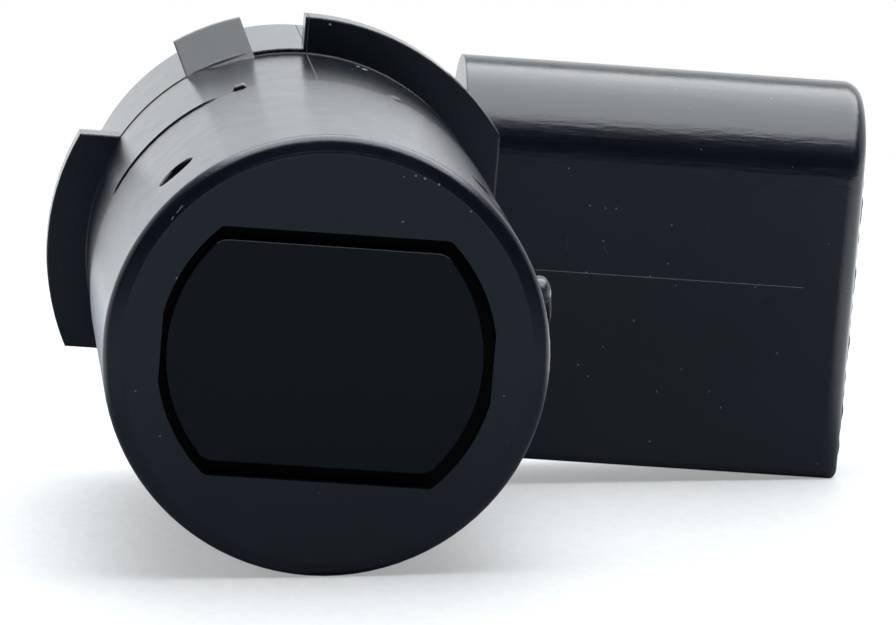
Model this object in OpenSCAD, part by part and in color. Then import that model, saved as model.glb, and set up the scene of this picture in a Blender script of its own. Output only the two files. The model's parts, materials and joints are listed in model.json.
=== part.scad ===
/* [Barrel] */
// Diameter of the front section of the barrel
barrel_d = 24.5; // [23:0.1:30]
// Length of the barrel from the front face to the rear edge
barrel_l = 43.8; // [39:0.1:50]
// Distance from the front face to the moulding seam
seam_y = 21.1; // [14:0.1:26]
// Step down in radius behind the seam
seam_step = 0.16; // [0.16:0.02:0.4]
// Distance from the front of the tabs to the rear edge
rear_l = 10.8; // [10.6:0.1:11.8]
// Step up in radius from the middle section to the rear ring
ring_step = 0.3; // [0.05:0.05:0.4]
// Wall between the bore and the front section's outside
barrel_wall = 1.85; // [1.5:0.05:2.2]
// Thickness of the front wall round the opening
front_wall = 2; // [1.5:0.1:2.6]
// Rounding from the front rim's slope to the barrel
rim_round = 0.5; // [0.3:0.1:0.8]
// Angle of the front rim's slope from the front face
rim_angle = 15; // [10:1:30]
// Depth of the front rim's slope
rim_fall = 0.12; // [0.06:0.02:0.2]
// Rounding of the rear edge
rear_round = 0.3; // [0.2:0.1:0.6]

/* [Snap pockets] */
// Distance from the front face to the middle of the pockets
pocket_y = 6.6; // [4:0.1:10]
// Diameter of a pocket
pocket_d = 2.4; // [1.2:0.1:4]
// Depth of a pocket
pocket_depth = 0.8; // [0.3:0.1:1.2]

/* [Tabs] */
// Radius of the tabs' outer edge beyond the front section
tab_reach = 2.2; // [1:0.1:4]
// Thickness of the tabs along the barrel
tab_t = 1.8; // [1.2:0.1:2.5]
// Drop of the long tabs below the side tab
long_drop = 0.15; // [0.05:0.05:0.4]
// Half height of the side tab
side_tab_half = 6.4; // [4:0.05:8]
// Distance of the long tab's inner end from the middle plane
long_tab_start = -0.2; // [-1:0.1:2]
// Distance of the long tab's flat outer end inside the front section's radius
long_tab_inset = 0.35; // [0.1:0.05:1]
// Width of the ramped tabs
ramp_tab_w = 4.2; // [3:0.1:6]
// Angle of the ramped tabs from the vertical
ramp_tab_angle = 24.6; // [20:0.1:30]
// Length of the ramp along the barrel
ramp_run = 1.5; // [0.4:0.1:1.8]
// Drop of the ramped tabs below the side tab
ramp_drop = 0.1; // [0.05:0.05:0.4]
// Thickness of the ramped tabs at their top
ramp_top_t = 0.4; // [0.2:0.1:1.6]
// Start of the ramp ahead of the rear ring
ramp_lead = 0.1; // [0.1:0.05:0.6]

/* [Connector] */
// Distance from the barrel's axis to the mouth of the socket
mouth_x = 34.2; // [32:0.1:42]
// Distance from the barrel's axis to the shroud's inner end
shroud_start = 9.9; // [9:0.1:11.5]
// Depth of the shroud from front to rear
shroud_d = 10.3; // [9.6:0.1:10.4]
// Height of the shroud above the barrel's axis
shroud_top = 11.95; // [11.5:0.05:13]
// Depth of the shroud below the barrel's axis
shroud_bottom = 11.6; // [11:0.05:13]
// Wall of the shroud
shroud_wall = 1.6; // [1.2:0.1:1.8]
// Rounding of the shroud's edges round the mouth
mouth_round = 1.1; // [0.5:0.1:1.2]
// Rounding of the shroud's lower corner at the mouth
shroud_round = 0.7; // [0.3:0.1:1.2]
// Rounding of the shroud's lower edges
foot_round = 0.5; // [0.3:0.1:0.8]
// Rounding of the socket's edges
socket_round = 0.35; // [0.2:0.05:0.5]
// Depth of the socket from the mouth
socket_depth = 14.4; // [12:0.1:15]
// Wall between the socket and the sealed rear pocket
web_t = 2; // [1.5:0.1:3]
// Half height of the sealed rear pocket
pocket_half = 5; // [4.8:0.05:5.2]

/* [Transducer] */
// Radius of the opening's round sides
opening_r = 9.3; // [9.15:0.05:9.6]
// Half width of the opening between its side flats
opening_side = 9.1; // [9:0.05:9.15]
// Half height of the opening
opening_half = 6.9; // [6.6:0.05:7.4]
// Rounding of the opening's corners
corner_round = 0.6; // [0.3:0.1:1]
// Gap between the membrane and the sides of the opening
side_gap = 0.4; // [0.3:0.05:0.7]
// Set of the cup to one side in its soft ring
cup_shift = -0.1; // [-0.15:0.05:0.15]
// Rounding of the membrane's corners
cup_round = 0.5; // [0.3:0.1:0.8]
// Gap between the membrane and the flats of the opening
flat_gap = 0.75; // [0.5:0.05:0.9]
// Depth of the membrane behind the front face
membrane_recess = 0.25; // [0.1:0.05:0.5]
// Thickness of the membrane
membrane_t = 0.6; // [0.4:0.1:1]
// Wall of the cup
cup_wall = 0.9; // [0.7:0.1:1.2]
// Length of the cup
cup_l = 8; // [7.5:0.1:10]
// Depth of the soft ring's front behind the front face
ring_recess = 1; // [0.6:0.1:1.3]
// Length of the soft ring behind the front wall
ring_l = 3; // [2:0.1:3.5]
// Length of the retaining ring
retainer_l = 2; // [1.5:0.1:2.5]
// Radius of the piezo disc
piezo_r = 4.6; // [3.5:0.1:4.8]
// Thickness of the piezo disc
piezo_t = 0.5; // [0.3:0.1:0.8]
// Thickness of the damping pad
pad_t = 4; // [2:0.1:5]
// Radius of the two leads
lead_r = 0.3; // [0.2:0.05:0.4]

/* [Electronics] */
// Distance from the barrel's axis to the board
board_x = 3; // [2:0.1:4]
// Thickness of the board
board_t = 1.2; // [0.8:0.1:1.6]
// Half width of the board
board_half = 8.8; // [8.4:0.05:9]
// Distance from the front face to the board's front edge
board_y = 12; // [11.5:0.1:13]
// Distance of the board's rear edge behind the blades
board_behind = 2.2; // [1.8:0.1:2.4]
// Width of the guide rails on each side of the board
rail_w = 1; // [0.6:0.1:1.4]
// Overlap of the guide rails on the board
rail_overlap = 0.7; // [0.4:0.1:1]
// Pitch of the three blades
blade_pitch = 4; // [3.5:0.1:4]
// Width of a blade
blade_w = 1.5; // [1:0.1:1.6]
// Thickness of a blade
blade_t = 0.64; // [0.5:0.02:0.8]
// Length of a blade inside the socket
blade_reach = 9.6; // [8:0.1:9.8]
// Depth of the sealing compound behind the tabs' front
seal_start = 1; // [0.5:0.1:1.5]
// Depth of the sealing compound's surface in the rear edge
seal_recess = 0.8; // [0.4:0.1:1.2]
// Clearance between pieces that slide together
slide_gap = 0.1; // [0.05:0.05:0.2]

/* [Hidden] */
$fn = 96;

// Length by which cuts run past the faces they open
over = 1;
// Lap by which a corner's arc crosses the round side that it meets
arc_lap = 0.02;

// Barrel and tabs
barrel_r = barrel_d / 2;
middle_r = barrel_r - seam_step;
rear_r = middle_r + ring_step;
tab_y = barrel_l - rear_l;
rim_x = barrel_r - rim_round;
rim_y = rim_fall + rim_round * cos(rim_angle);
slope_r = rim_x + rim_round * sin(rim_angle);
face_r = slope_r - rim_fall / tan(rim_angle);
bore_r = barrel_r - barrel_wall;
tab_r = barrel_r + tab_reach;
long_tab_end = barrel_r - long_tab_inset;
ramp_y = tab_y - ramp_lead;
ramp_root = (bore_r + middle_r) / 2;
ramp_r = tab_r - ramp_drop;
ramp_slope = ramp_run / (ramp_r - middle_r);
ramp_rear = ramp_y + ramp_run + ramp_top_t;
ramp_cut = ramp_top_t / ramp_slope / 2;

// Connector
shroud_y = barrel_l - shroud_d;
shroud_round_top = shroud_d / 2;
shroud_mid_y = shroud_y + shroud_d / 2;
socket_x = mouth_x - socket_depth;
pocket_end = socket_x - web_t;
pocket_front = tab_y + seal_start + tab_t;

// Transducer
cup_r = opening_side - side_gap;
cup_half = opening_half - flat_gap;
cup_rear = membrane_recess + cup_l;
piezo_y = membrane_recess + membrane_t;
pad_y = piezo_y + piezo_t;
ring_rear = front_wall + ring_l;

// Electronics
board_rear = shroud_mid_y + board_behind;
board_back = board_x + board_t;
rail_front = board_y - rail_w;
rail_rear = tab_y - rail_w;
blade_back = 1.2;
blade_tip = 0.9;
seal_front = tab_y + seal_start;
seal_rear = barrel_l - seal_recess;
board_free = seal_front - board_y;
lead_x = -2;
lead_bend = 2;
lead_bend_y = board_y + lead_bend;
lead_signal_z = 0.5;
lead_ground_z = -(cup_half - cup_wall / 2);

// Flat outline drawn in X and Z, from one distance along the barrel to another
module along_y(from, to) {
    translate([0, to, 0]) rotate([90, 0, 0]) linear_extrude(to - from) children();
}

// Outline of radius and distance, turned about the barrel's axis
module turned() {
    rotate([-90, 0, 0]) rotate_extrude() children();
}

// Rectangle with rounded corners at its high x end
module end_rounded(length, width, round) {
    square([length - round, width]);
    translate([0, round]) square([length, width - 2 * round]);
    for (y = [round, width - round]) translate([length - round, y]) circle(round);
}

// Circle with two flats and rounded corners between them
module double_d(radius, half, round) {
    corner_z = half - round;
    corner_x = sqrt(pow(radius - round + arc_lap, 2) - pow(corner_z, 2));
    arc_z = corner_z * radius / (radius - round);
    intersection() {
        circle(radius);
        union() {
            square([2 * radius + over, 2 * arc_z], center = true);
            square([2 * corner_x, 2 * half], center = true);
            for (x = [-corner_x, corner_x], z = [-corner_z, corner_z]) translate([x, z]) circle(round);
        }
    }
}

module opening_outline() {
    intersection() {
        double_d(opening_r, opening_half, corner_round);
        square([2 * opening_side, 2 * opening_half + over], center = true);
    }
}

module cup_outline(gap = 0) {
    translate([cup_shift, 0]) double_d(cup_r + gap, cup_half + gap, cup_round);
}

// Barrel: front section with a sloped and rounded rim, middle section behind the seam, rear ring
module barrel_outer() {
    turned() {
        polygon([
            [0, 0], [face_r, 0], [slope_r, rim_fall], [rim_x, rim_y], [rim_x, 2 * rim_y], [0, 2 * rim_y]
        ]);
        translate([0, rim_y]) square([barrel_r, seam_y - rim_y]);
        translate([rim_x, rim_y]) circle(rim_round);
        translate([0, rim_y]) square([middle_r, tab_y]);
        translate([0, tab_y]) square([rear_r, barrel_l - rear_round - tab_y]);
        translate([0, tab_y]) square([rear_r - rear_round, barrel_l - tab_y]);
        translate([rear_r - rear_round, barrel_l - rear_round]) circle(rear_round);
    }
}

// Flat tabs round the rear ring: a side tab, and a long one cut off flat beside the shroud
module flat_tabs() {
    along_y(tab_y, tab_y + tab_t) {
        intersection() {
            circle(tab_r);
            translate([-tab_r - over, -side_tab_half]) square([tab_r + over, 2 * side_tab_half]);
        }
        intersection() {
            circle(tab_r - long_drop);
            translate([long_tab_start, -tab_r - over])
                square([long_tab_end - long_tab_start, 2 * (tab_r + over)]);
        }
    }
}

// Small tabs above and below, with a front that ramps back
module ramp_tabs() {
    intersection() {
        along_y(seam_y, barrel_l) circle(ramp_r);
        for (side = [-1, 1]) rotate([0, side * (90 + ramp_tab_angle), 0])
            translate([0, 0, -ramp_tab_w / 2]) linear_extrude(ramp_tab_w) polygon([
                [ramp_root, ramp_y - ramp_slope * (middle_r - ramp_root)],
                [ramp_r + ramp_cut, ramp_y + ramp_slope * (ramp_r + ramp_cut - middle_r)],
                [ramp_r + ramp_cut, ramp_rear],
                [ramp_root, ramp_rear]
            ]);
    }
}

// Rectangle with rounded corners at its low y end
module foot_rounded(width, height, round) {
    translate([0, round]) square([width, height - round]);
    translate([round, 0]) square([width - 2 * round, height]);
    for (x = [round, width - round]) translate([x, round]) circle(round);
}

// Shroud block: flat sides, a full-round top, and edges rounded at the mouth and below
module shroud_block(inset = 0, start = shroud_start, end = mouth_x,
                    edge = mouth_round, corner = shroud_round, foot = foot_round) {
    width = shroud_d - 2 * inset;
    length = end - start;
    crown_z = shroud_top - shroud_round_top;
    height = crown_z + shroud_bottom - inset;
    translate([start, shroud_y + inset, crown_z - height]) intersection() {
        linear_extrude(height) end_rounded(length, width, edge);
        translate([0, width + over, 0]) rotate([90, 0, 0])
            linear_extrude(width + 2 * over) end_rounded(length, height + over, corner);
        translate([-over, 0, 0]) rotate([90, 0, 90])
            linear_extrude(length + 2 * over) foot_rounded(width, height + over, foot);
    }
    translate([start, shroud_mid_y, crown_z]) rotate([90, 0, 90]) rotate_extrude(angle = 180) {
        square([width / 2 - edge, length]);
        square([width / 2, length - edge]);
        translate([width / 2 - edge, length - edge]) circle(edge);
    }
}

// Socket: the shroud's own outline set in by its wall
module socket() {
    shroud_block(shroud_wall, socket_x, mouth_x + over, socket_round, socket_round, socket_round);
}

// Pocket that joins the bore to the shroud, open to the rear
module rear_pocket() {
    translate([0, pocket_front, -pocket_half])
        cube([pocket_end, barrel_l + over - pocket_front, 2 * pocket_half]);
}

module snap_pockets() {
    for (angle = [45 : 90 : 315]) rotate([0, -angle, 0])
        translate([barrel_r - pocket_depth, pocket_y, 0]) rotate([0, 90, 0])
            cylinder(r = pocket_d / 2, h = pocket_depth + over);
}

// Grooved rails in the bore that hold the board's long edges
module guide_rails() {
    groove = board_t + slide_gap;
    intersection() {
        along_y(rail_front, rail_rear) circle(bore_r + over / 2);
        for (side = [-1, 1]) scale([1, 1, side]) difference() {
            translate([board_x - rail_w, rail_front, board_half - rail_overlap])
                cube([board_t + 2 * rail_w, rail_rear - rail_front, bore_r]);
            translate([board_x - slide_gap / 2, board_y, 0])
                cube([groove, rail_rear, board_half + slide_gap]);
        }
    }
}

// Blades of the connector, at their places along the socket's height
module blade(place, gap = 0) {
    width = blade_w + 2 * gap;
    thick = blade_t + 2 * gap;
    rear = board_x - blade_back;
    front = socket_x + blade_reach;
    translate([0, shroud_mid_y - thick / 2, place * blade_pitch]) {
        translate([rear, 0, -width / 2]) cube([front - blade_tip - rear, thick, width]);
        translate([front - blade_tip, thick, 0]) rotate([90, 0, 0]) linear_extrude(thick) polygon([
            [0, -width / 2], [blade_tip, -width / 4], [blade_tip, width / 4], [0, width / 2]
        ]);
    }
}

module blades(gap = 0) {
    for (place = [-1, 0, 1]) blade(place, gap);
}

module housing() {
    color([0.09, 0.1, 0.11]) {
        difference() {
            union() {
                barrel_outer();
                flat_tabs();
                ramp_tabs();
                shroud_block();
            }
            along_y(-over, front_wall + over) opening_outline();
            along_y(front_wall, barrel_l + over) circle(bore_r);
            rear_pocket();
            socket();
            snap_pockets();
            blades();
        }
        guide_rails();
    }
}

module transducer_cup() {
    color([0.06, 0.07, 0.08]) difference() {
        along_y(membrane_recess, cup_rear) cup_outline();
        along_y(piezo_y, cup_rear + over) cup_outline(-cup_wall);
    }
}

module decoupling_ring() {
    color([0.03, 0.03, 0.03]) difference() {
        union() {
            along_y(ring_recess, front_wall) opening_outline();
            along_y(front_wall, ring_rear) circle(bore_r);
        }
        along_y(ring_recess - over, ring_rear + over) cup_outline();
    }
}

module piezo_disc() {
    color([0.75, 0.72, 0.6]) along_y(piezo_y, pad_y) translate([cup_shift, 0])
        circle(piezo_r);
}

module damping_pad() {
    color([0.25, 0.25, 0.27]) along_y(pad_y, pad_y + pad_t) difference() {
        cup_outline(-cup_wall - slide_gap);
        translate([lead_x, lead_signal_z]) circle(lead_r + slide_gap);
    }
}

module retaining_ring() {
    color([0.7, 0.7, 0.66]) along_y(ring_rear, ring_rear + retainer_l) difference() {
        circle(bore_r - slide_gap);
        cup_outline(slide_gap);
    }
}

// Lead along the barrel that bends across to the board
module lead(from, z) {
    along_y(from, lead_bend_y) translate([lead_x, z]) circle(lead_r);
    translate([lead_x, lead_bend_y, z]) {
        sphere(lead_r);
        rotate([0, 90, 0]) cylinder(r = lead_r, h = board_x - lead_x);
    }
}

module lead_signal() {
    color([0.75, 0.15, 0.12]) lead(pad_y, lead_signal_z);
}

module lead_ground() {
    color([0.1, 0.1, 0.1]) lead(cup_rear, lead_ground_z);
}

module circuit_board() {
    color([0.05, 0.3, 0.15]) difference() {
        translate([board_x, board_y, -board_half]) cube([board_t, board_rear - board_y, 2 * board_half]);
        blades();
    }
}

// Transformer on the board's inner face
transformer_share = 0.5;
transformer_y = board_y + transformer_share * board_free;
base_side = 8;
base_t = 1;
flange_r = 3.7;
flange_t = 0.9;
post_r = 1.6;
winding_r = 3.3;
winding_l = 3.2;

// Round disc standing off the board's inner face
module off_board(from, thick, radius) {
    translate([board_x - from, transformer_y, 0]) rotate([0, -90, 0]) cylinder(r = radius, h = thick);
}

module transformer_base() {
    color([0.12, 0.12, 0.12]) translate([board_x - base_t, transformer_y - base_side / 2, -base_side / 2])
        cube([base_t, base_side, base_side]);
}

module transformer_core() {
    color([0.3, 0.29, 0.28]) {
        off_board(base_t, flange_t, flange_r);
        off_board(base_t, winding_l + 2 * flange_t, post_r);
        off_board(base_t + flange_t + winding_l, flange_t, flange_r);
    }
}

module transformer_winding() {
    color([0.7, 0.38, 0.16]) difference() {
        off_board(base_t + flange_t, winding_l, winding_r);
        off_board(base_t, winding_l + 2 * flange_t, post_r);
    }
}

// Controller on the board's outer face, with gull-wing legs
chip_share = 0.4;
chip_y = board_y + chip_share * board_free;
chip_l = 8.6;
chip_w = 3.9;
chip_t = 1.5;
chip_lift = 0.15;
leg_pitch = 1.27;
leg_count = 7;
leg_w = 0.42;
leg_t = 0.2;
leg_foot = 1.05;
leg_z = chip_t / 2 + chip_lift;

module controller_chip() {
    color([0.1, 0.1, 0.1]) translate([board_back + chip_lift, chip_y - chip_l / 2, -chip_w / 2])
        cube([chip_t, chip_l, chip_w]);
}

module chip_legs() {
    first_y = chip_y - leg_pitch * (leg_count - 1) / 2;
    color([0.8, 0.8, 0.8])
        for (side = [-1, 1], index = [0 : leg_count - 1])
            translate([board_back, first_y + index * leg_pitch + leg_w / 2, 0])
                rotate([90, 0, 0]) linear_extrude(leg_w) scale([1, side]) translate([0, chip_w / 2])
                    polygon([
                        [leg_z, 0], [leg_z, leg_foot / 2], [leg_t, leg_foot / 2], [leg_t, leg_foot],
                        [0, leg_foot], [0, leg_foot / 2 - leg_t], [leg_z - leg_t, leg_foot / 2 - leg_t],
                        [leg_z - leg_t, 0]
                    ]);
}

// Tall capacitor on the board's inner face
can_r = 2;
can_l = 5;
can_set = 2.6;
can_margin = 1.6;
can_y = board_y + can_set;
can_z = board_half - can_r - can_margin;
can_round = 0.35;

module tank_capacitor() {
    color([0.55, 0.56, 0.6]) translate([board_x, can_y, can_z]) rotate([0, -90, 0]) rotate_extrude() {
        square([can_r - can_round, can_l]);
        square([can_r, can_l - can_round]);
        translate([can_r - can_round, can_l - can_round]) circle(can_round);
    }
}

// Small parts on the board's outer face: size along the barrel, height, then width
capacitor_size = [2, 1.1, 1.25];
resistor_size = [1.6, 0.45, 0.8];
diode_size = [4.3, 2.1, 2.6];
capacitor_count = 4;
capacitor_pitch = 2.6;
resistor_count = 5;
resistor_pitch = 2.1;
row_lead = 4;
row_margin = 4.2;
row_y = chip_y - row_lead;
row_z = board_half - row_margin;
diode_set = 3.2;
diode_y = chip_y + chip_l / 2 + diode_set;
diode_z = 3.4;

module on_board(y, z, size) {
    translate([board_back, y - size[0] / 2, z - size[2] / 2]) cube([size[1], size[0], size[2]]);
}

module ceramic_capacitors() {
    color([0.6, 0.5, 0.38])
        for (step = [0 : capacitor_count - 1])
            on_board(row_y + step * capacitor_pitch, row_z, capacitor_size);
}

module chip_resistors() {
    color([0.15, 0.15, 0.16])
        for (step = [0 : resistor_count - 1])
            on_board(row_y + step * resistor_pitch, -row_z, resistor_size);
}

module clamp_diode() {
    color([0.12, 0.12, 0.13]) on_board(diode_y, diode_z, diode_size);
}

module terminal_supply() {
    color([0.8, 0.78, 0.7]) blade(1);
}

module terminal_data() {
    color([0.8, 0.78, 0.7]) blade(0);
}

module terminal_ground() {
    color([0.8, 0.78, 0.7]) blade(-1);
}

// Solder round each blade and each lead on the board's inner face
joint_r = 1.3;
joint_top_r = 0.9;
joint_h = 0.6;

module joint(y, z) {
    translate([board_x, y, z]) rotate([0, -90, 0]) cylinder(r1 = joint_r, r2 = joint_top_r, h = joint_h);
}

module joints() {
    for (place = [-1, 0, 1]) joint(shroud_mid_y, place * blade_pitch);
    for (z = [lead_signal_z, lead_ground_z]) joint(lead_bend_y, z);
}

module solder_joints() {
    color([0.75, 0.76, 0.78]) difference() {
        joints();
        blades();
        for (z = [lead_signal_z, lead_ground_z]) translate([lead_x, lead_bend_y, z])
            rotate([0, 90, 0]) cylinder(r = lead_r, h = board_x - lead_x + over);
    }
}

module potting_compound() {
    color([0.13, 0.13, 0.14]) difference() {
        union() {
            along_y(seal_front, seal_rear) circle(bore_r);
            translate([0, pocket_front, -pocket_half])
                cube([pocket_end, seal_rear - pocket_front, 2 * pocket_half]);
        }
        translate([board_x, board_y, -board_half]) cube([board_t, board_rear - board_y, 2 * board_half]);
        blades();
        joints();
    }
}

housing();
transducer_cup();
decoupling_ring();
piezo_disc();
damping_pad();
retaining_ring();
lead_signal();
lead_ground();
circuit_board();
transformer_base();
transformer_core();
transformer_winding();
controller_chip();
chip_legs();
tank_capacitor();
ceramic_capacitors();
chip_resistors();
clamp_diode();
terminal_supply();
terminal_data();
terminal_ground();
solder_joints();
potting_compound();
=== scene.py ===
import json
import math

import bmesh
import bpy
from mathutils import Matrix, Vector


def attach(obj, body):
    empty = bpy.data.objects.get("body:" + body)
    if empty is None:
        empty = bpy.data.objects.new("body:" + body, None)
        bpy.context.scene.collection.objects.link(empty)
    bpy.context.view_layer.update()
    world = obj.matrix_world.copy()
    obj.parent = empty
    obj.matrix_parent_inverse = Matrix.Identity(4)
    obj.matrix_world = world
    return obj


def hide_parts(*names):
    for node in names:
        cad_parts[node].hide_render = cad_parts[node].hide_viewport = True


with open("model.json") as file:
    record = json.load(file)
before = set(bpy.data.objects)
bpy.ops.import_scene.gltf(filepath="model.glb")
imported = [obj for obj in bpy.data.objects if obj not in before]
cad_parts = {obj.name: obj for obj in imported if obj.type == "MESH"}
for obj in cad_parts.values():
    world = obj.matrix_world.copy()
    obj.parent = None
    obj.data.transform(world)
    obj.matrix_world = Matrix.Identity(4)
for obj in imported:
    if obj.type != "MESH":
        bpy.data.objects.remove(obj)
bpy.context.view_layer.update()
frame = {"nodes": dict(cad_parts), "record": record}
mm = 0.001
tight = 1e-7  # how near counts as on a cutting plane
close = 1e-6  # how near counts as the same place
print("frame loaded:", len(frame["nodes"]), "nodes")


# Shader maths: a socket that takes Python's operators
class Reading:
    def __init__(self, finish, socket):
        self.finish = finish
        self.socket = socket

    def maths(self, operation, first, second=None, third=None):
        return self.finish.node("ShaderNodeMath", {"operation": operation}, {0: first, 1: second, 2: third})

    def __add__(self, other):
        return self.maths("ADD", self, other)

    def __radd__(self, other):
        return self.maths("ADD", other, self)

    def __sub__(self, other):
        return self.maths("SUBTRACT", self, other)

    def __rsub__(self, other):
        return self.maths("SUBTRACT", other, self)

    def __mul__(self, other):
        return self.maths("MULTIPLY", self, other)

    def __rmul__(self, other):
        return self.maths("MULTIPLY", other, self)

    def __pow__(self, other):
        return self.maths("POWER", self, other)

    def __abs__(self):
        return self.maths("ABSOLUTE", self)

    def __lt__(self, other):
        return self.maths("LESS_THAN", self, other)

    def __gt__(self, other):
        return self.maths("GREATER_THAN", self, other)


# One node tree, and short ways to add nodes to it
class Finish:
    def __init__(self, tree):
        self.tree = tree

    def node(self, kind, settings=None, sockets=None, out=0):
        made = self.tree.nodes.new(kind)
        for name, value in (settings or {}).items():
            setattr(made, name, value)
        for name, value in (sockets or {}).items():
            if isinstance(value, Reading):
                self.tree.links.new(value.socket, made.inputs[name])
            elif value is not None:
                made.inputs[name].default_value = value
        return Reading(self, made.outputs[out]) if len(made.outputs) else made

    def coords(self):
        return self.node("ShaderNodeTexCoord", out="Object")

    def axes(self, vector):
        outputs = self.node("ShaderNodeSeparateXYZ", sockets={0: vector}).socket.node.outputs
        return [Reading(self, outputs[index]) for index in range(3)]

    def vector(self, operation, first, second, out=0):
        return self.node("ShaderNodeVectorMath", {"operation": operation}, {0: first, 1: second}, out)

    def scale(self, vector, factor):
        return self.node("ShaderNodeVectorMath", {"operation": "SCALE"}, {0: vector, "Scale": factor})

    def noise(self, vector, size, detail=3, roughness=0.5):  # size in millimetres
        return self.node("ShaderNodeTexNoise", sockets={
            "Vector": vector, "Scale": 1 / (size * mm), "Detail": detail, "Roughness": roughness})

    def clamp(self, value):
        return self.node("ShaderNodeClamp", sockets={0: value})

    def fade(self, value, start, end, low=0.0, high=1.0):  # an eased step from low to high
        return self.node("ShaderNodeMapRange", {"interpolation_type": "SMOOTHSTEP"}, {
            0: value, 1: start, 2: end, 3: low, 4: high})

    def ramp(self, factor, span, dark, light):  # two tones over a span of the factor
        made = self.node("ShaderNodeValToRGB", sockets={0: factor})
        elements = made.socket.node.color_ramp.elements
        for element, place, tone in zip(elements, span, (dark, light)):
            element.position = place
            element.color = (*tone, 1)
        return made

    def blend(self, factor, first, second):  # colours mixed by a factor
        first, second = (tone if isinstance(tone, Reading) else (*tone, 1) for tone in (first, second))
        return self.node("ShaderNodeMix", {"data_type": "RGBA"}, {0: factor, 6: first, 7: second}, out=2)

    def bump(self, strength, distance, height, normal=None):  # distance in millimetres
        return self.node("ShaderNodeBump", sockets={
            "Strength": strength, "Distance": distance * mm, "Height": height, "Normal": normal})


def newMaterial(name):
    material = bpy.data.materials.new(name)
    material.use_nodes = True
    material.node_tree.nodes.clear()
    return material, Finish(material.node_tree)


def closeMaterial(finish, shader):
    finish.node("ShaderNodeOutputMaterial", sockets={0: shader})


# Camera: where the photograph was taken from, in millimetres and degrees
shot = {"place": (-27.952, -339.437, 62.748), "yaw": 5.772, "dip": 9.938, "lean": 4.84, "lens": 255.78, "nearClip": 10}


def setCamera():
    yaw, dip, lean = (math.radians(shot[key]) for key in ("yaw", "dip", "lean"))
    ahead = Vector((math.sin(yaw) * math.cos(dip), math.cos(yaw) * math.cos(dip), -math.sin(dip)))
    right = Vector((math.cos(yaw), -math.sin(yaw), 0))
    up = right.cross(ahead)
    rightTurned = right * math.cos(lean) + up * math.sin(lean)
    upTurned = up * math.cos(lean) - right * math.sin(lean)
    data = bpy.data.cameras.new("shotCamera")
    data.lens = shot["lens"]
    data.sensor_fit = "HORIZONTAL"
    data.clip_start = shot["nearClip"] * mm
    camera = bpy.data.objects.new("shotCamera", data)
    bpy.context.scene.collection.objects.link(camera)
    turn = Matrix((rightTurned, upTurned, -ahead)).transposed().to_4x4()
    camera.matrix_world = Matrix.Translation(Vector(shot["place"]) * mm) @ turn
    bpy.context.scene.camera = camera


setCamera()
print("camera set")

# Floor: the plane under the rim, the lower long tab and the shroud's corner (millimetres)
stand = {
    "height": -12.256, "slopeX": 0.0838, "slopeY": -0.0635,
    "half": 700, "nearY": -420, "farY": 247, "farSlant": 0.21,
    "tone": (0.49, 0.5, 0.51), "toneSpan": (0.3, 0.7), "roughness": 0.6, "specular": 0.3,
    "mottle": 60, "mottleShare": 0.3, "fibre": 0.35, "fibreShare": 0.7, "fibreRun": (0.5, 0.16, 1), "fibreTone": 0.86,
    "lift": 0.33, "liftTint": (0.985, 0.995, 1),
    "mirrorTone": (0.19, 0.225, 0.275), "mirrorEdge": -27,
    # side strips of the floor glow brighter than white in reflections only: a painted reflection for the object's
    # rounded side edges
    "sideGlowInReflections": 2.4, "sideMiddle": 4, "sideFrom": 36, "sideTo": 56,
}


def deselect():
    if bpy.context.mode != "OBJECT":
        bpy.ops.object.mode_set(mode="OBJECT")
    bpy.ops.object.select_all(action="DESELECT")


def tableFinish():
    material, finish = newMaterial("tableFinish")
    place = finish.coords()
    x, y, z = finish.axes(place)
    mottle = finish.noise(place, stand["mottle"], 2)
    fibre = finish.noise(finish.vector("MULTIPLY", place, stand["fibreRun"]), stand["fibre"], 3, 0.7)
    weave = mottle * stand["mottleShare"] + fibre * stand["fibreShare"]
    shaded = [part * stand["fibreTone"] for part in stand["tone"]]
    tone = finish.ramp(weave, stand["toneSpan"], shaded, stand["tone"])
    seen = finish.node("ShaderNodeLightPath", out="Is Camera Ray")
    mirrored = finish.node("ShaderNodeLightPath", out="Is Glossy Ray")
    aside = finish.fade(abs(x - stand["sideMiddle"] * mm), stand["sideFrom"] * mm, stand["sideTo"] * mm)
    lift = seen * stand["lift"] + mirrored * aside * stand["sideGlowInReflections"]  # the white surround seen by the camera, plus floor strips at the sides that glow in reflections only, a painted reflection on the rounded edges of the socket's mouth and the side tab
    surface = finish.node("ShaderNodeBsdfPrincipled", sockets={
        "Base Color": finish.blend(mirrored, tone, stand["mirrorTone"]), "Roughness": stand["roughness"],
        "Specular IOR Level": stand["specular"],
        "Emission Color": finish.scale(stand["liftTint"], lift), "Emission Strength": 1.0})
    ahead = mirrored * (y < stand["mirrorEdge"] * mm)  # reflections see the dim room there
    clear = finish.node("ShaderNodeBsdfTransparent")
    closeMaterial(finish, finish.node("ShaderNodeMixShader", sockets={0: ahead, 1: surface, 2: clear}))
    return material


def layFloor():
    deselect()
    bpy.ops.mesh.primitive_plane_add(size=2)
    floor = bpy.context.object
    floor.name = "tableTop"
    for vertex in floor.data.vertices:
        x = vertex.co.x * stand["half"]
        y = stand["nearY"] if vertex.co.y < 0 else stand["farY"] - stand["farSlant"] * x  # the far edge crosses the view
        z = stand["height"] + stand["slopeX"] * x + stand["slopeY"] * y
        vertex.co = Vector((x, y, z)) * mm
    floor.data.materials.append(tableFinish())


layFloor()

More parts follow.
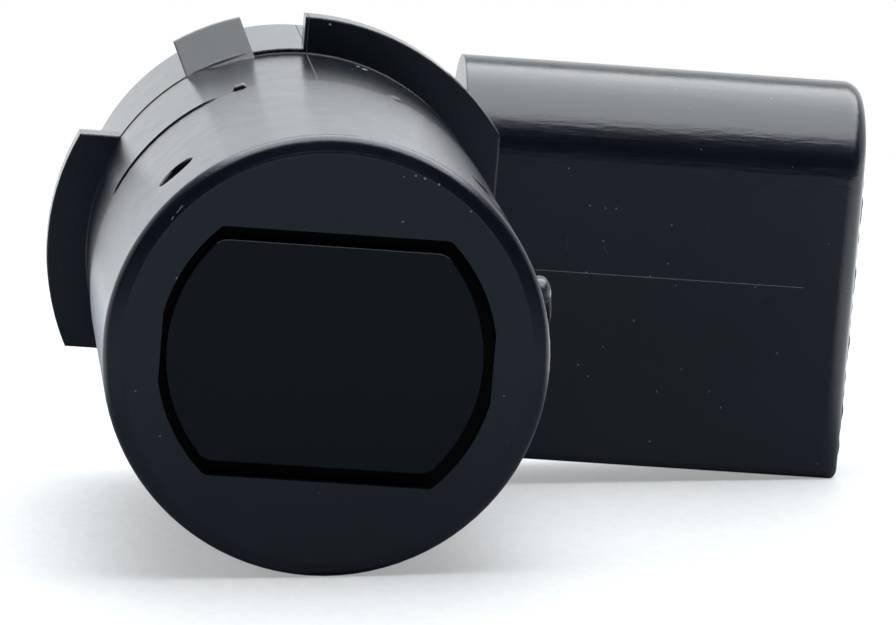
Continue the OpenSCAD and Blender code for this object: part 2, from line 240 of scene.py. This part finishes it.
# Light: a large softbox overhead for the sheen, fills for the colours, a white room behind and a dim one in front (metres)
studio = {
    "boxSize": (0.84, 1.02), "boxPlace": (0.08, 0.01, 0.5), "boxPower": 24.0,
    "fillSize": (0.5, 0.5), "fillAim": (0.01, 0.02, 0),
    "fills": [((0.03, 0.0, 0.6), 3.0), ((-0.6, 0.1, 0.35), 0.4), ((0.6, 0.1, 0.35), 0.4), ((0.1, 0.7, 0.4), 2.0)],
    "tint": (0.95, 0.98, 1.0), "tableTint": (0.76, 0.93, 1.12), "seenTint": (1, 1, 1),
    "roomBright": 1.5, "roomDim": 0.005, "tableDim": 0.78, "tableFrom": -0.1, "tableTo": 0.02,
    "sides": 0.35, "turnFrom": -0.15, "turnTo": 0.3, "roofFrom": 0.35, "roofTo": 0.75, "roofShare": 0.32,
}


def hangLamp(name, place, size, power, target):
    data = bpy.data.lights.new(name, "AREA")
    data.shape = "RECTANGLE"
    data.size, data.size_y = size
    data.energy = power
    data.color = studio["tint"]
    lamp = bpy.data.objects.new(name, data)
    lamp.location = place
    lamp.rotation_euler = (Vector(target) - Vector(place)).to_track_quat("-Z", "Y").to_euler()
    bpy.context.scene.collection.objects.link(lamp)
    return lamp


def hangLamps():
    place = studio["boxPlace"]
    softbox = hangLamp("softbox", place, studio["boxSize"], studio["boxPower"], (place[0], place[1], 0))
    softbox.visible_diffuse = False  # it draws the sheen, while the fills light the colours
    for index, (place, power) in enumerate(studio["fills"]):
        fill = hangLamp("fill%d" % index, place, studio["fillSize"], power, studio["fillAim"])
        fill.visible_glossy = False


def paintRoom():
    world = bpy.data.worlds.new("studioRoom")
    bpy.context.scene.world = world
    world.use_nodes = True
    world.node_tree.nodes.clear()
    finish = Finish(world.node_tree)
    x, y, z = finish.axes(finish.node("ShaderNodeTexCoord", out="Generated"))
    front = finish.fade(z, studio["tableFrom"], studio["tableTo"], studio["tableDim"], studio["roomDim"])
    behind = finish.fade(y + abs(x) * studio["sides"], studio["turnFrom"], studio["turnTo"])
    roof = finish.fade(z, studio["roofFrom"], studio["roofTo"], 1.0, studio["roofShare"])
    room = behind * roof * studio["roomBright"] + (1 - behind) * front
    seen = finish.node("ShaderNodeLightPath", out="Is Camera Ray")
    level = room * (1 - seen) + seen  # the background is white
    mood = finish.blend(behind, studio["tableTint"], studio["tint"])
    glow = finish.scale(finish.blend(seen, mood, studio["seenTint"]), level)
    lit = finish.node("ShaderNodeBackground", sockets={"Color": glow, "Strength": 1.0})
    finish.node("ShaderNodeOutputWorld", sockets={0: lit})


hangLamps()
paintRoom()
bpy.context.scene.view_settings.view_transform = "Standard"
print("floor and light set")

# Housing: satin black moulding with a fine grain, flow ripples, a mould line, dust and a few scuffs (millimetres)
moulding = {
    "dark": (0.0016, 0.0042, 0.0092), "light": (0.0028, 0.0062, 0.0128), "cloud": 5, "cloudSpan": (0.3, 0.75),
    "roughness": (0.21, 0.27), "patch": 1.6, "specular": 0.34,
    "dullRough": 0.9, "dustDull": 0.5, "lineDull": 0.7, "lineHalf": 0.035, "lineLow": 11.5, "lineFront": 21.1,
    "grain": 0.12, "grainBump": (0.4, 0.02), "edgeRound": 0.18, "sharpRadius": 10.6, "sharpDepth": 1.0,
    "streak": 0.28, "streakRun": (0.16, 0.5, 1.0), "streakBump": (0.8, 0.02),
    "crownFrom": 12, "crownLow": 4, "crownHigh": 7,
    "sink": (28.89, 33.5, -0.62), "sinkReach": 0.75, "reliefBump": (1.0, 0.025),
    "lipRadius": 11.3, "lipReach": 0.16, "lipLow": -9.0, "lipHigh": -1.0, "lipDepth": 0.2,
    "dustCell": 0.8, "dustRadius": 0.05, "dustLeast": 0.012, "dustShare": 0.42, "dustTone": (0.16, 0.17, 0.18),
    "fleck": 0.35, "wobble": (0.3, 1.4),
}

# Marks on the housing: lines with a start, an end and a half width (millimetres), broken up where the flecks are thin
blemishes = {
    "hairs": {"tone": (0.03, 0.032, 0.036), "lines": [
        ((16.47, 33.5, 2.25), (16.55, 33.5, 1.34), 0.022), ((18.69, 33.5, 1.73), (19.03, 33.5, 1.27), 0.022)]},
    "scuffs": {"tone": (0.2, 0.21, 0.22), "thin": 0.42, "lines": [
        ((3.97, 0.0, 10.35), (4.02, 0.0, 10.37), 0.05), ((4.52, 0.0, 10.22), (4.5, 0.0, 10.25), 0.06),
        ((5.26, 0.0, 9.94), (5.3, 0.0, 9.98), 0.05), ((6.52, 0.0, 9.15), (6.5, 0.0, 9.2), 0.05),
        ((7.11, 0.0, 8.64), (7.15, 0.0, 8.6), 0.04), ((3.47, 0.0, 7.78), (3.5, 0.0, 7.8), 0.04),
        ((-9.19, 0.05, 6.74), (-8.9, 0.05, 7.25), 0.05), ((-8.85, 0.05, 7.3), (-8.51, 0.05, 7.83), 0.035)]},
    "snapped": {"tone": (0.035, 0.038, 0.042), "thin": 0.46, "lines": [  # stress-whitened where the gate broke off
        ((11.6, 2.6, 4.0), (11.75, 2.6, 3.7), 0.45)]},
    "chips": {"tone": (0.5, 0.52, 0.54), "lines": [
        ((3.35, 31.6, 11.6), (3.5, 31.8, 11.55), 0.12), ((3.0, 31.9, 11.7), (3.1, 32.0, 11.7), 0.08),
        ((1.24, 33.0, 13.95), (1.3, 33.0, 13.92), 0.05)]},
}


def lineMask(finish, place, lines, wobble):  # 1 within a line's width of it
    mask = 0.0
    for start, end, width in lines:
        start, end = Vector(start) * mm, Vector(end) * mm
        run = end - start
        offset = finish.vector("SUBTRACT", place, start)
        share = finish.clamp(finish.vector("DOT_PRODUCT", offset, run / run.length_squared, "Value"))
        away = finish.vector("DISTANCE", offset, finish.scale(run, share), "Value")
        mask = (away < wobble * (width * mm)) + mask
    return finish.clamp(mask)


def blemishMasks(finish, place):
    fleck = finish.noise(place, moulding["fleck"], 3)
    least, spread = moulding["wobble"]
    wobble = fleck * spread + least
    masks = {}
    for name, blemish in blemishes.items():
        masks[name] = lineMask(finish, place, blemish["lines"], wobble)
        if "thin" in blemish:
            masks[name] = masks[name] * (fleck > blemish["thin"])
    return masks


def dustMask(finish, place):  # a round speck in some of the cells
    cells = {"Vector": place, "Scale": 1 / (moulding["dustCell"] * mm)}
    reach = finish.node("ShaderNodeTexVoronoi", sockets=cells)
    chance = finish.axes(finish.node("ShaderNodeTexVoronoi", sockets=cells, out="Color"))
    size = chance[1] * (moulding["dustRadius"] / moulding["dustCell"]) + moulding["dustLeast"]
    return (reach < size) * (chance[0] < moulding["dustShare"])


def mouldedSurface(finish, place):  # the normal: softened edges, grain, the crown's ripples, a sink and the face's lip
    x, y, z = finish.axes(place)
    radius = (x * x + z * z) ** 0.5
    opening = (radius < moulding["sharpRadius"] * mm) * (y < moulding["sharpDepth"] * mm)  # its edge is crisp
    soft = finish.node("ShaderNodeBevel", {"samples": 4}, {"Radius": moulding["edgeRound"] * mm})
    crisp = finish.node("ShaderNodeNewGeometry", out="Normal")
    edge = finish.node("ShaderNodeMix", {"data_type": "VECTOR"}, {0: opening, 4: soft, 5: crisp}, out=1)
    grain = finish.bump(*moulding["grainBump"], finish.noise(place, moulding["grain"], 2), edge)
    crown = (x > moulding["crownFrom"] * mm) * finish.fade(z, moulding["crownLow"] * mm, moulding["crownHigh"] * mm)
    streaks = finish.noise(finish.vector("MULTIPLY", place, moulding["streakRun"]), moulding["streak"], 3)
    ripple = finish.bump(*moulding["streakBump"], streaks * crown, grain)
    well = finish.vector("DISTANCE", place, Vector(moulding["sink"]) * mm, "Value")
    hollow = finish.fade(well, 0.0, moulding["sinkReach"] * mm)
    lip = finish.fade(abs(radius - moulding["lipRadius"] * mm), 0.0, moulding["lipReach"] * mm, 1.0, 0.0)
    upper = finish.fade(z, moulding["lipLow"] * mm, moulding["lipHigh"] * mm)
    relief = hollow + lip * upper * (y < moulding["lipDepth"] * mm)
    return finish.bump(*moulding["reliefBump"], relief, ripple)


def mouldedPlastic():
    material, finish = newMaterial("satinMoulding")
    place = finish.coords()
    x, y, z = finish.axes(place)
    dust = dustMask(finish, place)
    masks = blemishMasks(finish, place)
    cloud = finish.noise(place, moulding["cloud"], 4)
    tone = finish.ramp(cloud, moulding["cloudSpan"], moulding["dark"], moulding["light"])
    tone = finish.blend(dust, tone, moulding["dustTone"])
    for name, mask in masks.items():
        tone = finish.blend(mask, tone, blemishes[name]["tone"])
    line = (abs(x) < moulding["lineHalf"] * mm) * (z > moulding["lineLow"] * mm) * (y > moulding["lineFront"] * mm)
    dull = finish.clamp(line * moulding["lineDull"] + dust * moulding["dustDull"] + masks["chips"])
    low, high = moulding["roughness"]
    satin = low + (high - low) * finish.noise(place, moulding["patch"], 4)
    closeMaterial(finish, finish.node("ShaderNodeBsdfPrincipled", sockets={
        "Base Color": tone, "Roughness": satin * (1 - dull) + dull * moulding["dullRough"],
        "Normal": mouldedSurface(finish, place), "Specular IOR Level": moulding["specular"]}))
    return material


# The other finishes: two tones over a grain in millimetres, a roughness range and, where they differ, a metal share,
# a specular level and a relief in millimetres
finishes = {
    "cup_coating": {"dark": (0.0022, 0.0044, 0.008), "light": (0.003, 0.0054, 0.0098), "roughness": (0.3, 0.36),
                    "grain": 0.1, "specular": 0.15},
    "soft_ring": {"dark": (0.0008, 0.0008, 0.0009), "light": (0.0016, 0.0016, 0.0018), "roughness": (0.75, 0.9),
                  "grain": 0.2, "specular": 0.1},
    "piezo": {"dark": (0.52, 0.48, 0.36), "light": (0.66, 0.62, 0.5), "roughness": (0.45, 0.6), "grain": 0.15},
    "foam": {"dark": (0.05, 0.05, 0.055), "light": (0.1, 0.1, 0.11), "roughness": (0.85, 0.95), "grain": 0.35},
    "inner_plastic": {"dark": (0.42, 0.42, 0.38), "light": (0.52, 0.52, 0.48), "roughness": (0.4, 0.5), "grain": 0.25},
    "lead_red": {"dark": (0.36, 0.02, 0.015), "light": (0.5, 0.035, 0.025), "roughness": (0.3, 0.4), "grain": 0.2},
    "lead_black": {"dark": (0.014, 0.014, 0.014), "light": (0.022, 0.022, 0.022), "roughness": (0.3, 0.4), "grain": 0.2},
    "board": {"dark": (0.008, 0.09, 0.035), "light": (0.013, 0.14, 0.06), "roughness": (0.28, 0.38), "grain": 0.6},
    "black_plastic": {"dark": (0.014, 0.014, 0.015), "light": (0.024, 0.024, 0.025), "roughness": (0.45, 0.6),
                      "grain": 0.1},
    "ferrite": {"dark": (0.045, 0.042, 0.04), "light": (0.07, 0.065, 0.06), "roughness": (0.5, 0.65), "grain": 0.12},
    "copper": {"dark": (0.42, 0.15, 0.05), "light": (0.62, 0.26, 0.1), "roughness": (0.25, 0.35), "grain": 0.15,
               "metal": 1.0},
    "tinned_metal": {"dark": (0.56, 0.55, 0.51), "light": (0.7, 0.69, 0.65), "roughness": (0.24, 0.36), "grain": 0.3,
                     "metal": 1.0},
    "can_metal": {"dark": (0.54, 0.55, 0.57), "light": (0.64, 0.65, 0.67), "roughness": (0.25, 0.35), "grain": 0.3,
                  "metal": 1.0},
    "capacitor_body": {"dark": (0.34, 0.25, 0.16), "light": (0.44, 0.33, 0.22), "roughness": (0.4, 0.5), "grain": 0.1},
    "sealing_resin": {"dark": (0.01, 0.01, 0.012), "light": (0.02, 0.02, 0.023), "roughness": (0.16, 0.28), "grain": 2.5,
                      "relief": 0.5},
}
usual = {"metal": 0.0, "specular": 0.5, "relief": 0.02, "strength": 0.15, "cloudSize": 8, "span": (0.3, 0.7)}


def grainedFinish(name, look):
    look = {**usual, **look}
    material, finish = newMaterial(name + "Finish")
    place = finish.coords()
    cloud = finish.noise(place, look["grain"] * look["cloudSize"], 3)
    low, high = look["roughness"]
    closeMaterial(finish, finish.node("ShaderNodeBsdfPrincipled", sockets={
        "Base Color": finish.ramp(cloud, look["span"], look["dark"], look["light"]),
        "Roughness": low + (high - low) * cloud, "Metallic": look["metal"], "Specular IOR Level": look["specular"],
        "Normal": finish.bump(look["strength"], look["relief"], finish.noise(place, look["grain"], 2))}))
    return material


materials = {name: grainedFinish(name, look) for name, look in finishes.items()}
materials["housing_plastic"] = mouldedPlastic()
for part in frame["record"]["subparts"]:
    node = frame["nodes"][part["node"]]
    node.data.materials.clear()
    node.data.materials.append(materials[part["material_slot"]])
print("finishes set on", len(frame["nodes"]), "nodes")


# Modelling helpers: start a piece, choose parts of its mesh in edit mode, then finish it at the origin
def fix():  # makes the active piece's place, turn and scale part of its mesh
    bpy.ops.object.transform_apply(location=True, rotation=True, scale=True)


def addBlock(size, middle):  # a box, in millimetres
    deselect()
    bpy.ops.mesh.primitive_cube_add(size=1)
    piece = bpy.context.object
    piece.scale = Vector(size) * mm
    piece.location = Vector(middle) * mm
    fix()
    return piece


def addRod(sides, radius, front, rear, x=0.0, z=0.0, ends="NGON"):  # a cylinder along Y, in millimetres
    deselect()
    bpy.ops.mesh.primitive_cylinder_add(
        vertices=sides, radius=radius * mm, depth=(rear - front) * mm, end_fill_type=ends,
        location=(x * mm, (rear + front) / 2 * mm, z * mm), rotation=(math.pi / 2, 0, 0))
    fix()
    return bpy.context.object


def pick(piece, kind, test=lambda item: True):
    bpy.ops.object.mode_set(mode="EDIT")
    bpy.ops.mesh.select_mode(type={"edges": "EDGE", "faces": "FACE"}[kind])
    bpy.ops.mesh.select_all(action="DESELECT")
    mesh = bmesh.from_edit_mesh(piece.data)
    for item in getattr(mesh, kind):
        item.select_set(bool(test(item)))
    mesh.select_flush_mode()
    bmesh.update_edit_mesh(piece.data)


def along(edge, axis):  # the edge runs along this axis
    run = edge.verts[1].co - edge.verts[0].co
    return abs(run.normalized()[axis]) > 0.999


def draw(shift):  # extrudes what is picked
    bpy.ops.mesh.extrude_region_move(TRANSFORM_OT_translate={"value": shift})


def thicken(piece, thickness):  # inwards, in millimetres
    shell = piece.modifiers.new("shell", "SOLIDIFY")
    shell.thickness = thickness * mm
    shell.offset = -1
    bpy.ops.object.modifier_apply(modifier="shell")


def settle(piece, name, slotName, angle=30):
    bpy.ops.object.mode_set(mode="OBJECT")
    fix()
    bpy.ops.object.shade_smooth_by_angle(angle=math.radians(angle))
    piece.name = name
    piece.data.name = name
    piece.data.materials.clear()
    piece.data.materials.append(materials[slotName])
    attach(piece, "root")
    deselect()


# Membrane cup: two flats, rounded corners and a softened front edge (millimetres)
cup = {
    "radius": 8.7, "half": 6.15, "shift": -0.1, "front": 0.25, "rear": 8.25, "wall": 0.9, "membrane": 0.6,
    "corner": 0.5, "cornerCuts": 6, "edge": 0.1, "edgeCuts": 4, "sides": 160, "smooth": 40,
}


def makeCup():
    piece = addRod(cup["sides"], cup["radius"], cup["front"], cup["rear"], cup["shift"])
    half, shift, front, rear = (cup[key] * mm for key in ("half", "shift", "front", "rear"))
    for side in (1, -1):
        pick(piece, "faces")
        bpy.ops.mesh.bisect(plane_co=(0, 0, side * half), plane_no=(0, 0, side), use_fill=True, clear_outer=True,
                            threshold=tight)
    corner = math.sqrt(cup["radius"] ** 2 - cup["half"] ** 2) * mm - 10 * close
    pick(piece, "edges", lambda edge: along(edge, 1) and all(
        abs(v.co.z) > half - close and abs(v.co.x - shift) > corner for v in edge.verts))
    bpy.ops.mesh.bevel(offset=cup["corner"] * mm, segments=cup["cornerCuts"])
    pick(piece, "edges", lambda edge: all(abs(v.co.y - front) < close for v in edge.verts))
    bpy.ops.mesh.bevel(offset=cup["edge"] * mm, segments=cup["edgeCuts"])
    pick(piece, "faces", lambda face: face.normal.y > 0.9 and abs(face.calc_center_median().y - rear) < close)
    bpy.ops.mesh.inset(thickness=cup["wall"] * mm)
    draw((0, front + cup["membrane"] * mm - rear, 0))
    settle(piece, "membraneCup", "cup_coating", cup["smooth"])
    bpy.context.view_layer.objects.active = piece
    piece.modifiers.new("even", "WEIGHTED_NORMAL").keep_sharp = True  # keeps the membrane flat to its edge
    bpy.ops.object.modifier_apply(modifier="even")
    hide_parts("transducer_cup")


makeCup()

# Gate stub: the snapped runner on the barrel's side behind the rim, a lump with a thin flake hanging from it
stub = {
    "size": (1.15, 1.7, 1.3), "radius": 12.25, "y": 3.3, "angle": 19.0, "cuts": 3, "roundness": 0.9, "levels": 2,
    "flakeSlope": -0.3, "flakeFrom": 0.1, "flakeHalf": 0.3, "smooth": 60,
    "flake": [((-0.02, 0, -0.35), (0.55, 0.7, 1)), ((-0.06, 0, -0.55), (0.9, 0.9, 1)),
              ((-0.14, 0, -0.35), (0.6, 0.6, 1))],
}


def makeStub():
    deselect()
    bpy.ops.mesh.primitive_cube_add(size=1)
    piece = bpy.context.object
    pick(piece, "faces")
    bpy.ops.mesh.subdivide(number_cuts=stub["cuts"])
    bpy.ops.transform.tosphere(value=stub["roundness"])
    bpy.ops.object.mode_set(mode="OBJECT")
    lump = Vector(stub["size"]) * mm
    piece.scale = lump
    fix()

    def holdsFlake(face):  # the outer middle of the underside
        middle = face.calc_center_median()
        inside = middle.x > stub["flakeFrom"] * lump.x and abs(middle.y) < stub["flakeHalf"] * lump.y
        return inside and face.normal.z < stub["flakeSlope"]

    pick(piece, "faces", holdsFlake)
    for shift, narrow in stub["flake"]:
        draw(Vector(shift) * mm)
        bpy.ops.transform.resize(value=narrow)
    bpy.ops.object.mode_set(mode="OBJECT")
    smooth = piece.modifiers.new("soften", "SUBSURF")
    smooth.levels = smooth.render_levels = stub["levels"]
    bpy.ops.object.modifier_apply(modifier="soften")
    turn = math.radians(stub["angle"])
    piece.rotation_euler = (0, -turn, 0)
    piece.location = Vector((stub["radius"] * math.cos(turn), stub["y"], stub["radius"] * math.sin(turn))) * mm
    settle(piece, "gateStub", "housing_plastic", stub["smooth"])


makeStub()

# Parting ridges: hairlines of flash where the mould halves met, each at a face's y and from a start in x
ridge = {"to": 31.0, "wide": 0.07, "high": 0.04, "z": 0.02, "cuts": 40, "edge": 0.015, "faces": [(33.5, 12.7), (43.8, 18.1)]}


def makeRidges():
    for index, (y, start) in enumerate(ridge["faces"]):
        piece = addBlock((ridge["to"] - start, ridge["high"], ridge["wide"]), ((ridge["to"] + start) / 2, y, ridge["z"]))
        pick(piece, "edges", lambda edge: along(edge, 0))
        bpy.ops.mesh.subdivide(number_cuts=ridge["cuts"])
        pick(piece, "edges", lambda edge: along(edge, 0))
        bpy.ops.mesh.bevel(offset=ridge["edge"] * mm, segments=2)
        settle(piece, "partingRidge%d" % index, "housing_plastic")


makeRidges()

# Mould steps: sectors, in degrees, that stand a little proud behind the seam, where the mould halves were out of line
steps = {
    "radius": 12.09, "sides": 720, "thick": 0.4,
    "sectors": [
        {"from": 113.5, "to": 162.0, "ease": 8.0, "front": 21.1, "rear": 32.95, "top": 12.34},
        {"from": 109.6, "to": 113.8, "ease": 0.6, "front": 21.5, "rear": 22.3, "top": 12.4},
        {"from": 64.5, "to": 71.5, "ease": 3.0, "front": 21.1, "rear": 22.6, "top": 12.3},
    ],
}


def bearing(place):  # degrees round the barrel
    return math.degrees(math.atan2(place.z, place.x))


def makeSteps():
    for index, sector in enumerate(steps["sectors"]):
        piece = addRod(steps["sides"], steps["radius"], sector["front"], sector["rear"], ends="NOTHING")
        pick(piece, "faces", lambda face: not sector["from"] < bearing(face.calc_center_median()) < sector["to"])
        bpy.ops.mesh.delete(type="FACE")
        bpy.ops.object.mode_set(mode="OBJECT")
        for vertex in piece.data.vertices:
            turn = bearing(vertex.co)
            share = min(turn - sector["from"], sector["to"] - turn) / sector["ease"]
            share = max(0.0, min(1.0, share))
            grow = 1 + (sector["top"] / steps["radius"] - 1) * share * share * (3 - 2 * share)  # an eased rise
            vertex.co.x *= grow
            vertex.co.z *= grow
        thicken(piece, steps["thick"])
        settle(piece, "mouldStep%d" % index, "housing_plastic")


makeSteps()

# Mouth flash: a thin uneven fin of plastic along the front edge of the socket's mouth
flash = {
    "x": 34.2, "y": 34.65, "from": -10.2, "to": 6.6, "reach": 0.07, "thick": 0.1, "cuts": 120,
    "wave": 0.035, "swell": (2.3, 0.7), "tremor": 5.9, "tremorShare": 0.5, "sag": 0.6,
}


def makeFlash():
    piece = addBlock((2 * flash["reach"], flash["thick"], flash["to"] - flash["from"]),
                     (flash["x"], flash["y"], (flash["to"] + flash["from"]) / 2))
    pick(piece, "edges", lambda edge: along(edge, 2))
    bpy.ops.mesh.subdivide(number_cuts=flash["cuts"])
    bpy.ops.object.mode_set(mode="OBJECT")
    quick, slow = flash["swell"]
    for vertex in piece.data.vertices:
        if vertex.co.x > flash["x"] * mm:
            z = vertex.co.z / mm
            swell = math.sin(quick * z) * math.sin(slow * z + 1)
            tremor = flash["tremorShare"] * math.sin(flash["tremor"] * z + 2)
            vertex.co.x += flash["wave"] * mm * (swell + tremor - flash["sag"])
    settle(piece, "mouthFlash", "housing_plastic")


makeFlash()

# Resin skin: the cast resin climbs the wall of the rear pocket in a meniscus and holds a few bubbles (x, z, radius)
resin = {
    "radius": 10.4, "half": 5.0, "end": 17.8, "level": 43.0, "climb": 0.26, "clear": 0.01, "thick": 0.4, "sides": 192,
    "rings": [(0.1, -0.13), (0.18, -0.07), (0.35, -0.04)], "smooth": 50,
    "bubbles": [(-4.1, 5.2, 0.42), (-3.2, 5.7, 0.26), (5.6, -3.4, 0.5), (1.2, -7.9, 0.34), (13.9, 2.6, 0.38),
                (14.6, 2.2, 0.2)],
    "bubbleFlat": 0.45, "bubbleSink": 0.05,
}


def makeResin():
    deselect()
    radius = resin["radius"] - resin["clear"]
    half = resin["half"] - resin["clear"]
    mouth = math.sqrt(radius ** 2 - half ** 2)  # where the round pocket opens into the straight one
    brim = resin["level"] + resin["climb"]
    bpy.ops.mesh.primitive_circle_add(vertices=resin["sides"], radius=radius * mm, fill_type="NGON",
                                      rotation=(-math.pi / 2, 0, 0), location=(0, brim * mm, 0))
    piece = bpy.context.object
    fix()
    pick(piece, "faces")
    bpy.ops.mesh.bisect(plane_co=(mouth * mm, 0, 0), plane_no=(1, 0, 0), clear_outer=True, threshold=tight)
    pick(piece, "edges", lambda edge: all(abs(v.co.x - mouth * mm) < close for v in edge.verts))
    draw(((resin["end"] - resin["clear"] - mouth) * mm, 0, 0))
    pick(piece, "faces")
    bpy.ops.mesh.normals_make_consistent(inside=False)
    if all(face.normal.y < 0 for face in bmesh.from_edit_mesh(piece.data).faces):
        bpy.ops.mesh.flip_normals()
    for wide, deep in resin["rings"]:
        bpy.ops.mesh.inset(thickness=wide * mm, depth=deep * mm)
    bpy.ops.object.mode_set(mode="OBJECT")
    thicken(piece, resin["thick"])
    settle(piece, "resinSkin", "sealing_resin", resin["smooth"])
    makeBubbles(brim + sum(deep for wide, deep in resin["rings"]))


def makeBubbles(level):
    for index, (x, z, size) in enumerate(resin["bubbles"]):
        deselect()
        bpy.ops.mesh.primitive_uv_sphere_add(segments=32, ring_count=16, radius=size * mm,
                                             location=(x * mm, level * mm, z * mm), rotation=(-math.pi / 2, 0, 0))
        bubble = bpy.context.object
        bubble.scale = (1, 1, resin["bubbleFlat"])
        fix()
        pick(bubble, "faces")
        bpy.ops.mesh.bisect(plane_co=(0, (level - resin["bubbleSink"]) * mm, 0), plane_no=(0, 1, 0), clear_inner=True,
                            use_fill=True, threshold=tight)
        settle(bubble, "resinBubble%d" % index, "sealing_resin", resin["smooth"])


makeResin()

# Ejector marks: the rings that the mould's pins left on the shroud's rear, at places in x and z
marks = {
    "radius": 1.3, "sides": 48, "rim": 0.12, "deep": 0.05, "proud": 0.02, "y": 43.8, "thick": 0.3, "edge": 0.01,
    "edgeReach": 0.1, "edgeAngle": 1, "places": [(24.5, -7.6), (30.6, -7.6), (30.6, 5.2)],
}


def makeMarks():
    rear = marks["y"] + marks["proud"]
    for index, (x, z) in enumerate(marks["places"]):
        piece = addRod(marks["sides"], marks["radius"], rear - marks["thick"], rear, x, z)
        pick(piece, "faces", lambda face: face.normal.y > 0.9)
        bpy.ops.mesh.inset(thickness=marks["rim"] * mm)
        draw((0, -marks["deep"] * mm, 0))
        pick(piece, "edges", lambda edge: edge.calc_face_angle(0) > marks["edgeAngle"] and all(
            v.co.y > (marks["y"] - marks["edgeReach"]) * mm for v in edge.verts))
        bpy.ops.mesh.bevel(offset=marks["edge"] * mm, segments=2)
        settle(piece, "ejectorMark%d" % index, "housing_plastic")


makeMarks()
print("pieces made")
